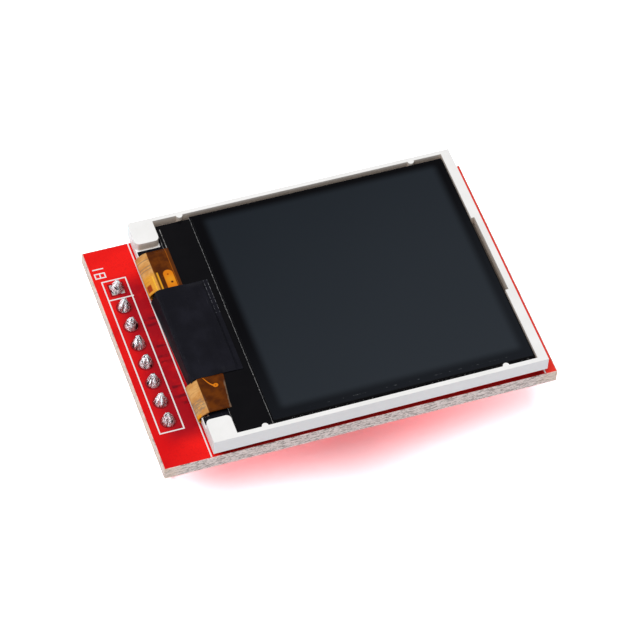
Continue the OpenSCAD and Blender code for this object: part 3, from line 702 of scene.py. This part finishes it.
def frameMaterial():
    # satin white moulding with faint flow marks along the walls and a fine grain
    material = newMaterial("whiteMoulding")
    place = millimetres()
    flow = noise(millimetres((0.25, 0.25, 1.6)), 1.0, 3.0)
    grain = noise(place, 9.0, 4.0, 0.6)
    color = blendColor(ramp(flow, 0.35, 0.75), frameLook["plastic"], frameLook["shade"])
    # painted shade and tinted light: the walls' inner faces are painted warmer and darker, as if lit by light
    # that the tapes have tinted, more so towards the bottom, and the recess's floor is painted dark
    x, y, z = axes(place)
    inside = boxMask(x, y, (frameLow[0] + 0.3, frameLow[1] + 0.3, frameHigh[0] - 0.4, frameHigh[1] - 0.3),
                     0.05)
    low = ramp(z, frameHigh[2], filmLow[2] - 0.3)
    paintedInnerShade = times(times(inside, sideFaces()), plus(0.45, times(low, 0.5)))
    color = blendColor(paintedInnerShade, color, frameLook["inner"])
    # the left end's outer face faces the red board, whose light it takes on, so its own tone is a little
    # green
    outerLeft = times(ramp(x, frameLow[0] + 0.2, frameLow[0] + 0.1), sideFaces())
    color = blendColor(outerLeft, color, frameLook["outerLeft"])
    # painted shade on the front wall's outer face
    front = times(ramp(y, frameLow[1] + 0.1, frameLow[1] + 0.04), sideFaces())
    color = paint(color, front, frameLook["front"], 0.8)
    paintedRecessShade = times(ramp(x, bayRight - 0.02, bayRight), ramp(z, frameHigh[2] - 0.12, frameHigh[2] - 0.16))
    paintedRecessShade = times(paintedRecessShade, times(inside, minus(1.0, sideFaces())))
    color = blendColor(paintedRecessShade, color, frameLook["recess"])
    normal = bump(plus(grain, flow), 0.006)
    surface(color, 0.48, normal, Specular_IOR_Level=0.2)
    return material


def makeFrame():
    # The node's own shape with its triangles joined into flat faces and its edges rounded. The front
    # wall's lower edge rises a little towards the right, and the right wall's outer face stands out.
    joined = mergedCopy("display_frame", 2e-6)
    bmesh.ops.dissolve_limit(joined, angle_limit=math.radians(1), verts=joined.verts, edges=joined.edges)
    near = 0.01 * mm
    for corner in joined.verts:
        x, y, z = corner.co
        if y < frameLow[1] * mm + near and z < frameLow[2] * mm + near:
            corner.co.z += frameLook["footLift"] * (x - frameLow[0] * mm) / (frameHigh[0] - frameLow[0])
        if x > frameHigh[0] * mm - near:
            corner.co.x += frameLook["flare"] * mm
    piece = placeCopy("white_frame", joined, frameMaterial(), "display_frame")
    rounding = piece.modifiers.new("rounding", "BEVEL")
    rounding.width, rounding.segments = frameLook["edge"] * mm, 2
    rounding.limit_method, rounding.angle_limit = "ANGLE", math.radians(30)
    rounding.use_clamp_overlap = True


makeFrame()
print("display frame ready")

screenLook = {
    # the light tones are painted sheen
    "bezel": (6, 6, 9), "bezelLight": (26, 29, 34),
    "pictureDark": (31, 36, 42), "pictureLight": (45, 50, 56),
    "border": (1.25, 1.25, 1.0, 0.8),    # from the film's left, front, right and back edges to the picture
    "soft": 0.55,
}


def filmMaterial():
    # satin dark film: a black border, and a picture area with a painted sheen that goes from near black to
    # slate across its diagonal, which the border's tone follows too
    material = newMaterial("polariserFilm")
    place = millimetres()
    x, y, z = axes(place)
    left, front, right, back = screenLook["border"]
    box = (filmLow[0] + left, filmLow[1] + front, filmHigh[0] - right, filmHigh[1] - back)
    picture = boxMask(x, y, box, screenLook["soft"])
    rightwards = times(minus(x, box[0]), 0.35 / (box[2] - box[0]))
    forwards = times(minus(box[3], y), 0.65 / (box[3] - box[1]))
    drift = times(minus(noise(place, 0.06, 1.0), 0.5), 0.2)
    paintedSheen = calc("ADD", plus(rightwards, forwards), drift, True)
    glass = blendColor(paintedSheen, screenLook["pictureDark"], screenLook["pictureLight"])
    edge = blendColor(ramp(paintedSheen, 0.3, 0.95), screenLook["bezel"], screenLook["bezelLight"])
    color = blendColor(picture, edge, glass)
    # a dotted line of tiny glints along the front border
    dottedHighlight = ramp(noise(millimetres((2.6, 0.1, 0.1)), 1.0, 3.0, 0.7), 0.54, 0.7)
    line = boxMask(x, y, (filmLow[0] + 4, filmLow[1] + 0.5, filmHigh[0] - 1, filmLow[1] + 0.53), 0.03)
    color = blendColor(times(line, dottedHighlight), color, (116, 120, 124))
    dust = ramp(noise(place, 5.0, 2.0, 0.8), 0.72, 0.8)
    color = paint(color, dust, (90, 96, 100), 0.12)
    # painted reflection on the film's cut edges
    color = paint(color, sideFaces(), (60, 62, 64), 0.6)
    rough = spread(noise(place, 2.0), 0.3, 0.4)
    surface(color, rough, bump(noise(place, 12.0), 0.001), Specular_IOR_Level=0.025)
    return material


def rearFilmMaterial():
    material = newMaterial("rearFilm")
    place = millimetres()
    color = blendColor(noise(place, 0.6), (34, 38, 40), (48, 52, 56))
    surface(color, 0.35, bump(noise(place, 12.0), 0.001), Specular_IOR_Level=0.3)
    return material


def glassMaterial():
    # dark coated glass: black faces, and cut edges that catch the light in small glints
    material = newMaterial("darkGlass")
    place = millimetres()
    x, y, z = axes(place)
    color = blendColor(noise(place, 0.5, 2.0), (9, 9, 12), (17, 16, 19))
    chipped = noise(place, 4.0, 4.0, 0.75)
    glint = ramp(chipped, 0.56, 0.68)
    cut = blendColor(glint, (26, 27, 30), (190, 192, 192))
    # painted highlight along the upper glass's left edge from end to end, and along the lower glass's left
    # edge too
    leftEdgeHighlight = ramp(apart(x, filterLow[0]), 0.06, 0.03)
    leftEdgeHighlight = either(leftEdgeHighlight, ramp(apart(x, glassLow[0]), 0.06, 0.03))
    bright = blendColor(ramp(chipped, 0.45, 0.66), (96, 98, 100), (240, 240, 240))
    cut = blendColor(leftEdgeHighlight, cut, bright)
    color = blendColor(sideFaces(), color, cut)
    # a scored line runs on from the flexible circuit's edge to the ledge's end
    scored = boxMask(x, y, (headEdge - 0.12, flexHigh[1] - 0.1, headEdge - 0.05, glassHigh[1] - 0.5), 0.02)
    color = blendColor(times(scored, ramp(chipped, 0.4, 0.6)), color, (186, 184, 182))
    surface(color, 0.18, bump(chipped, 0.002), Specular_IOR_Level=0.03)
    return material


tapeLook = {
    "black": (15, 15, 22), "worn": (24, 24, 32), "side": (12, 24, 30), "rim": (120, 122, 126),
    "thickness": 0.06, "bend": 0.4,    # and the radius over the frame's end
    "ripple": 0.003,        # height of the gentle waves in the flat part
    "crumple": 0.24,        # height of the folds at the lower left corner
    "flare": (0.05, 0.5),    # how far the lower left edge stands away from the frame, at its two ends
    "droop": 0.5,           # how far the lower left corner hangs down past the lower edge
    "rows": 150, "columns": 190, "seed": 7,
}


def tapeMaterial(name, hangs):
    # satin black film with a fine weave of scratches; creases get painted highlights, a little lighter
    material = newMaterial(name)
    place = millimetres()
    x, y, z = axes(place)
    cloud = noise(place, 0.35, 3.0)
    color = blendColor(ramp(cloud, 0.35, 0.7), tapeLook["black"], tapeLook["worn"])
    scratch = ramp(noise(millimetres((7.0, 0.6, 1.0)), 1.0, 2.0, 0.7), 0.66, 0.8)
    color = paint(color, scratch, (58, 58, 64), 0.35)
    if hangs:
        # where it hangs down it takes on red from the board, so its own tone is cooler; its lower edge is
        # pale
        color = blendColor(ramp(z, flexTop - 0.1, flexTop - 0.5), color, tapeLook["side"])
        color = blendColor(ramp(z, boardTop + 0.2, boardTop + 0.12), color, tapeLook["rim"])
    # painted highlights along two dotted creases beside the upper glass, on the tape's far end
    dottedHighlight = ramp(noise(millimetres((0.1, 3.4, 0.1)), 1.0, 3.0, 0.7), 0.42, 0.6)
    lines = either(*[boxMask(x, y, (at - 0.015, tapeHigh[1] - 4.5, at + 0.015, tapeHigh[1] - 0.05),
                             0.02) for at in (tapeHigh[0] - 0.45, tapeHigh[0] - 0.05)])
    color = blendColor(times(lines, dottedHighlight), color, (150, 152, 158))
    grain = noise(place, 10.0, 3.0)
    rough = spread(cloud, 0.34, 0.5)
    surface(color, rough, bump(grain, 0.003), Specular_IOR_Level=0.05)
    return material


def tapeProfile(count):
    # Section of the tape's outer face in X and Z: up the frame's side, round a quarter turn, level over
    # the flexible circuit, up a ramp to the chip, over it and down to the glass. It is returned as count
    # points at equal steps along it, with their distance from its start.
    low, high, thick = flexTop, chipHigh[2], tapeLook["thickness"]
    radius = tapeLook["bend"]
    turn = np.radians(np.linspace(180, 90, 24))
    bend = np.stack([tapeLow[0] + radius + radius * np.cos(turn),
                     low + thick - radius + radius * np.sin(turn)], 1)
    route = np.vstack([[[tapeLow[0], boardTop + 0.08]], bend,
                       [[headEdge + 0.05, low + thick], [chipLow[0] - 0.1, high + thick],
                        [chipHigh[0] + 0.1, high + thick], [chipHigh[0] + 0.4, chipLow[2] + thick],
                        [tapeHigh[0], chipLow[2] + thick]]])
    along = np.concatenate([[0], np.cumsum(np.hypot(*np.diff(route, axis=0).T))])
    steps = np.linspace(0, along[-1], count)
    return np.interp(steps, along, route[:, 0]), np.interp(steps, along, route[:, 1]), steps


def makeTape():
    # The section is carried along Y. The face is then lifted by small sine waves, and near the lower left
    # corner by the absolute value of three crossed waves, which stand up as sharp folds.
    rows, columns = tapeLook["rows"], tapeLook["columns"]
    rng = np.random.default_rng(tapeLook["seed"])
    x, z, steps = tapeProfile(columns)
    share = np.linspace(0, 1, rows)[:, None]
    ends = 0.04 * wave(rng, (1, columns), 1, 6, 5)
    y = tapeLow[1] + 0.04 + (tapeHigh[1] - tapeLow[1] - 0.08) * share
    y = y + ends * (1 - share) - ends[:, ::-1] * share
    y = y - tapeLook["droop"] * np.exp(-((steps[None] - 1.1) / 0.6) ** 2) * (1 - share) ** 12
    x, z = np.repeat(x[None], rows, 0), np.repeat(z[None], rows, 0)
    start, end = tapeLook["flare"]
    x = x - (start + (end - start) * share) * np.clip((flexTop - z) / (flexTop - boardTop), 0, 1)
    # beyond the flexible circuit the two ends are pressed down onto the glass
    fromEnd = np.minimum(y - tapeLow[1], tapeHigh[1] - y)
    pressed = np.exp(-(fromEnd / 0.45) ** 2) * np.clip((x - headEdge) / 0.5, 0, 1)
    z = z - pressed * np.clip(z - (chipLow[2] + tapeLook["thickness"] + 0.01), 0, None)
    slopeX, slopeZ = np.gradient(x, axis=1), np.gradient(z, axis=1)
    length = np.hypot(slopeX, slopeZ)
    outX, outZ = -slopeZ / length, slopeX / length
    lift = tapeLook["ripple"] * (0.6 + wave(rng, (rows, columns), 1.5, 5, 7))
    fromCorner = np.hypot((y - tapeLow[1]) / 0.75, (steps[None] - 0.75) / 0.6)
    crumple = np.exp(-fromCorner ** 2)
    sharp = (np.abs(np.sin(9 * y + 5 * steps[None])) + np.abs(np.sin(4 * y - 9 * steps[None] + 1)) +
             np.abs(np.sin(15 * y + 2 * steps[None] + 2))) / 3
    lift = np.clip(lift, 0, None) + tapeLook["crumple"] * crumple * (sharp - 0.2)
    points = np.stack([x + outX * lift, y + 0 * x, z + outZ * lift], -1)
    mapPoints = np.stack([np.repeat(steps[None], rows, 0), y + 0 * x], -1)
    piece = gridPiece("cover_tape_sheet", points, tapeMaterial("blackTape", True),
                      ["cover_tape"], mapPoints)
    thicken(piece, tapeLook["thickness"])


foldRadius = (flexHigh[2] - flexLow[2]) / 2      # the flexible circuit's half turn: its radius and its middle
foldZ = (flexHigh[2] + flexLow[2]) / 2
foldX = flexLow[0] + foldRadius
slotLow, slotHigh = tapeLow[1] - 0.05, tapeHigh[1] + 0.05    # the gap between its two legs
neckEnd = foldX + 1.2                            # where it narrows to its tail under the frame
tailEnd = boxOf("flex_solder")[1][0]
tailHalf, tailMiddle = 5.8, (flexLow[1] + flexHigh[1]) / 2
tailY = (tailMiddle - tailHalf, tailMiddle + tailHalf)

flexLook = {
    # bend and bendPale are paler tones for the bend, partly painted light where it faces the lamp
    "head": (104, 50, 4), "headDark": (76, 32, 2), "bend": (204, 142, 76), "bendPale": (224, 170, 104),
    "copper": (226, 128, 20), "gold": (236, 166, 40), "line": (64, 34, 16), "bendLine": (132, 112, 92),
    "spot": (66, 14, 10), "patch": (152, 128, 104),
    "pad": (-5.22, 0.52, 1.75),
         # middle from the head's edge, half the width, straight length from the slot
    "via": (-5.31, -1.15),           # from the head's edge and from the slot
    "backLines": (4.25, 3.35, 3.0),  # lines over the bend of each leg, from the slot
    "frontLines": (2.35, 2.65, 3.0, 3.4),
    "crease": 0.15,          # how much flatter than a circle the bend is between its sides
    "slant": 0.45,           # how much wider the front leg's head is at the tape
    "bulge": 0.26,           # how far the bend stands out past a circle
}


def flexMaterial():
    # Amber film over copper. The map's first number runs along the sheet from the head's free edge, over
    # the bend and back under the frame; the second is the distance along Y.
    material = newMaterial("amberCircuit")
    place = surfaceMap()
    s, y, _ = axes(place)
    head = headEdge - foldX                          # length of the flat head
    turn = math.pi * foldRadius * 0.9
    cloud = noise(place, 0.9, 3.0)
    base = blendColor(ramp(cloud, 0.35, 0.65), flexLook["headDark"], flexLook["head"])
    # over the bend the film faces the light: its paler tone is partly the copper showing through and partly
    # painted light
    bendPaintedLight = blendColor(ramp(cloud, 0.35, 0.65), flexLook["bend"], flexLook["bendPale"])
    bend = times(ramp(s, head - 0.04, head + 0.05), ramp(s, head + turn, head + turn - 0.6))
    color = blendColor(bend, base, bendPaintedLight)

    def band(low, high, side, soft):
        # a stretch along Y, from low to high
        return boxMask(s, y, (side[0], low, side[1], high), soft)

    top, bottom = slotHigh, flexHigh[1]
    # stripe along the head's free edge
    color = paint(color, band(top, bottom, (-0.1, 0.34), 0.04), (88, 44, 10), 0.8)
    color = paint(color, band(top, bottom, (0.36, 0.41), 0.03), (176, 96, 20), 0.9)
    # round topped pad beside the tape, with a drill spot in it
    middle, width, straight = flexLook["pad"]
    middle += headEdge
    tall = either(band(top - 0.4, top + straight, (middle - width, middle + width), 0.05),
                  discMask(s, y, (middle, top + straight), width, 0.05))
    color = paint(color, tall, flexLook["copper"])
    glow = discMask(s, y, (middle - 0.1, top + 1.0), 0.5, 0.45)
    color = paint(color, times(tall, glow), flexLook["gold"], 0.6)
    color = paint(color, discMask(s, y, (middle + 0.05, top + 1.7), 0.09, 0.06), (150, 50, 12))
    color = paint(color, discMask(s, y, (middle - 0.1, top + 0.62), 0.13, 0.07), flexLook["spot"])
    # dark and bright lines between that pad and the bend
    for at, half, value in ((1.9, 0.06, flexLook["line"]), (2.1, 0.09, flexLook["gold"]),
                            (2.28, 0.07, flexLook["line"])):
        color = paint(color, band(top - 0.4, top + 2.2, (at - half, at + half), 0.04), value, 0.9)
    # on the bend: fine lines across it, then a brighter field with a small square in it
    for line in flexLook["backLines"]:
        color = paint(color, band(top + line - 0.05, top + line + 0.05, (head + 0.02, head + turn), 0.05),
                      flexLook["bendLine"], 0.75)
    color = paint(color, band(top - 0.4, top + 2.3, (head + 0.05, head + turn), 0.35), (232, 158, 44), 0.85)
    color = paint(color, band(top + 0.3, top + 1.15, (head + 0.75, head + 1.35), 0.08), (150, 18, 12), 0.9)
    color = paint(color, band(top - 0.4, top + 2.0, (head + 0.22, head + 0.36), 0.05), (250, 196, 60), 0.8)

    # the other leg: a copper line that curves down from the tape, at v + 1.2 ((s - s0) / 0.9)^2, to a
    # round pad at (s0, v) with a drilled middle
    low = slotLow
    viaPlace = (headEdge + flexLook["via"][0], low + flexLook["via"][1])
    reach = calc("DIVIDE", minus(s, viaPlace[0]), 0.9)
    lineY = plus(viaPlace[1], times(times(reach, reach), 1.2))
    away = apart(y, lineY)
    trace = times(ramp(away, 0.13, 0.06), times(ramp(s, viaPlace[0] - 0.02, viaPlace[0]),
                                                ramp(s, viaPlace[0] + 0.95, viaPlace[0] + 0.9)))
    color = paint(color, trace, flexLook["copper"])
    color = paint(color, discMask(s, y, viaPlace, 0.24, 0.05), flexLook["copper"])
    color = paint(color, discMask(s, y, viaPlace, 0.07, 0.05), (150, 70, 16))
    # fine streaks over the bend
    streaks = ramp(noise(surfaceMap((0.7, 6.5, 1)), 1.0, 3.0, 0.7), 0.52, 0.7)
    color = paint(color, times(streaks, bend), (150, 96, 48), 0.55)
    # glue patch on the bend and the ragged free edge
    mottle = ramp(noise(place, 3.0, 3.0), 0.35, 0.6)
    patch = band(flexLow[1] + 0.5, low - 2.2, (head + 0.05, head + turn), 0.4)
    color = paint(color, times(patch, mottle), flexLook["patch"], 0.7)
    for line in flexLook["frontLines"]:
        color = paint(color, band(low - line - 0.04, low - line + 0.04, (head + 0.1, head + turn), 0.05),
                      flexLook["bendLine"], 0.6)
    wavy = plus(s, times(minus(noise(place, 1.2), 0.5), 0.5))
    ragged = times(ramp(wavy, 0.16, 0.1), ramp(y, low - 0.6, low - 1.2))
    color = paint(color, ragged, (120, 104, 88), 0.7)
    color = paint(color, band(flexLow[1] - 0.1, flexLow[1] + 0.35, (head + 0.9, head + turn), 0.12),
                  (240, 160, 30), 0.9)

    ridges = plus(times(either(tall, trace), 0.8), times(noise(place, 5.0, 3.0), 0.4))
    rough = spread(cloud, 0.25, 0.4)
    surface(color, rough, bump(ridges, 0.02), Specular_IOR_Level=0.06)
    return material


def makeFlex():
    # Outer face of the sheet, carried along Y: level from the head's edge to the bend, half a turn whose
    # radius is r (1 - c |sin 2a|) at the angle a, with b added to it across, and level again under the
    # frame. Faces in the slot and beside the tail go.
    a = np.linspace(0, math.pi, 56)
    radius = foldRadius * (1 - flexLook["crease"] * np.abs(np.sin(2 * a)) * (a < math.pi / 2))
    bend = np.stack([foldX - (radius + flexLook["bulge"]) * np.sin(a), foldZ + radius * np.cos(a)], 1)
    headX = np.linspace(headEdge, foldX, 25)[:-1]
    tailX = np.concatenate([np.linspace(foldX, neckEnd, 9)[1:], np.linspace(neckEnd, tailEnd, 30)[1:]])
    route = np.vstack([np.stack([headX, np.full(len(headX), flexHigh[2])], 1), bend,
                       np.stack([tailX, np.full(len(tailX), flexLow[2])], 1)])
    along = np.concatenate([[0], np.cumsum(np.hypot(*np.diff(route, axis=0).T))])
    y = np.unique(np.round(np.concatenate([np.linspace(flexLow[1], flexHigh[1], 60),
                                           [slotLow, slotHigh, tailY[0], tailY[1]]]), 5))
    # the front leg's free edge runs out to the right towards the tape
    across = np.repeat(route[:, :1], len(y), 1)
    head = (np.arange(len(route)) < len(headX))[:, None]
    slant = np.clip((y - slotLow) / 3.5 + 1, 0, 1) * (y < slotLow)
    across = across + head * flexLook["slant"] * slant[None] * (across - foldX) / (headEdge - foldX)
    points = np.stack([across, np.repeat(y[None], len(route), 0), np.repeat(route[:, 1:], len(y), 1)], -1)
    mapPoints = np.stack([np.repeat(along[:, None], len(y), 1), np.repeat(y[None], len(route), 0)], -1)
    rowMiddle = np.arange(len(route) - 1)[:, None]
    yMiddle = ((y[1:] + y[:-1]) / 2)[None]
    inBend = (rowMiddle >= len(headX)) & (rowMiddle < len(headX) + len(bend) - 1)
    nearEnd = np.minimum(route[1:, 0], route[:-1, 0])[:, None]
    inTail = (rowMiddle >= len(headX) + len(bend) - 1) & (nearEnd > neckEnd - 0.01)
    gone = inBend & (yMiddle > slotLow) & (yMiddle < slotHigh)
    gone |= inTail & ((yMiddle < tailY[0]) | (yMiddle > tailY[1]))
    piece = gridPiece("amber_circuit", points, flexMaterial(), ["flexible_circuit"], mapPoints,
                      ~gone)
    thicken(piece, flexThick)


dress(filmMaterial(), "front_polariser")
dress(rearFilmMaterial(), "rear_polariser")
dress(glassMaterial(), "transistor_glass", "filter_glass")
dress(tapeMaterial("rimTape", False), "rim_tape")
makeFlex()
makeTape()
print("screen, flexible circuit and tapes ready")


def speckled(name, low, high, scale, roughness, relief=0.004, stretch=(1, 1, 1), **sockets):
    # two tones mixed by noise, with the same noise as relief
    material = newMaterial(name)
    fine = noise(millimetres(stretch), scale, 4.0, 0.6)
    color = blendColor(ramp(fine, 0.35, 0.65), low, high)
    surface(color, roughness, bump(fine, relief), **sockets)
    return material


def filmRibMaterial(name, alongX):
    # clear film with fine parallel ribs
    material = newMaterial(name)
    x, y, z = axes(millimetres())
    ribs = calc("PINGPONG", y if alongX else x, 0.05)
    color = blendColor(ramp(ribs, 0.0, 0.05), (214, 220, 224), (240, 243, 246))
    surface(color, 0.2, bump(ribs, 0.02), Transmission_Weight=0.5, IOR=1.5)
    return material


def ledMaterial():
    # white case with a yellow phosphor window on the face towards the light guide
    material = newMaterial("ledCase")
    place = millimetres()
    x, y, z = axes(place)
    window = ramp(x, boxOf("backlight_led_1")[1][0] - 0.14, boxOf("backlight_led_1")[1][0] - 0.1)
    fine = noise(place, 6.0, 3.0)
    color = blendColor(fine, (232, 230, 222), (246, 244, 238))
    color = blendColor(minus(1.0, window), (236, 208, 84), color)
    surface(color, 0.5, bump(fine, 0.004), Specular_IOR_Level=0.3)
    return material


def chipPartMaterial(name, body, bodyDark):
    # fired body between two tinned end caps; the caps are the last 0.35 mm of the part along X
    material = newMaterial(name)
    place = millimetres()
    x, y, z = axes(place)
    low, high = boxOf("resistor_1")
    caps = either(ramp(x, low[0] + 0.36, low[0] + 0.34), ramp(x, high[0] - 0.36, high[0] - 0.34))
    fine = noise(place, 5.0, 4.0)
    color = blendColor(fine, body, bodyDark)
    color = blendColor(caps, color, blendColor(fine, (196, 196, 200), (226, 226, 228)))
    surface(color, 0.42, bump(fine, 0.01), Specular_IOR_Level=0.4, Metallic=caps)
    return material


dress(speckled("foam", (58, 58, 60), (84, 84, 86), 6.0, 0.9, 0.05), "foam_tape")
dress(speckled("reflector", (238, 240, 240), (250, 250, 250), 1.2, 0.35), "reflector_sheet")
dress(speckled("clearGuide", (226, 234, 238), (242, 247, 250), 0.7, 0.12, 0.001, Transmission_Weight=0.6,
               IOR=1.49), "light_guide")
dress(speckled("diffuser", (232, 234, 236), (246, 247, 248), 16.0, 0.6, 0.006), "diffuser_film")
dress(filmRibMaterial("lowerPrism", True), "lower_prism_film")
dress(filmRibMaterial("upperPrism", False), "upper_prism_film")
dress(ledMaterial(), *[name for name in nodes if name.startswith("backlight_led_")])
dress(speckled("stripCircuit", (180, 108, 30), (206, 134, 48), 1.4, 0.35), "led_strip")
dress(speckled("chipSilicon", (46, 48, 56), (66, 68, 78), 3.0, 0.2, 0.002, (1, 0.3, 1), Metallic=0.3),
      "driver_chip")
dress(speckled("mouldedPackage", (26, 26, 28), (42, 42, 44), 9.0, 0.6, 0.012), "regulator_body",
      "transistor_body")
dress(speckled("leadTin", (188, 188, 192), (222, 222, 226), 3.0, 0.3, 0.008, (4, 4, 1), Metallic=1.0),
      "regulator_leads", "transistor_leads")
dress(chipPartMaterial("resistorBody", (28, 28, 32), (44, 44, 48)),
      *[n for n in nodes if n.startswith("resistor_")])
dress(chipPartMaterial("capacitorBody", (176, 138, 92), (150, 112, 72)),
      *[n for n in nodes if n.startswith("capacitor_")])
print("hidden pieces dressed")

bpy.context.scene.view_settings.view_transform = "Standard"
undressed = [name for name,
             piece in nodes.items() if not piece.hide_render and not any(piece.data.materials)]
print("nodes without a material:", undressed)
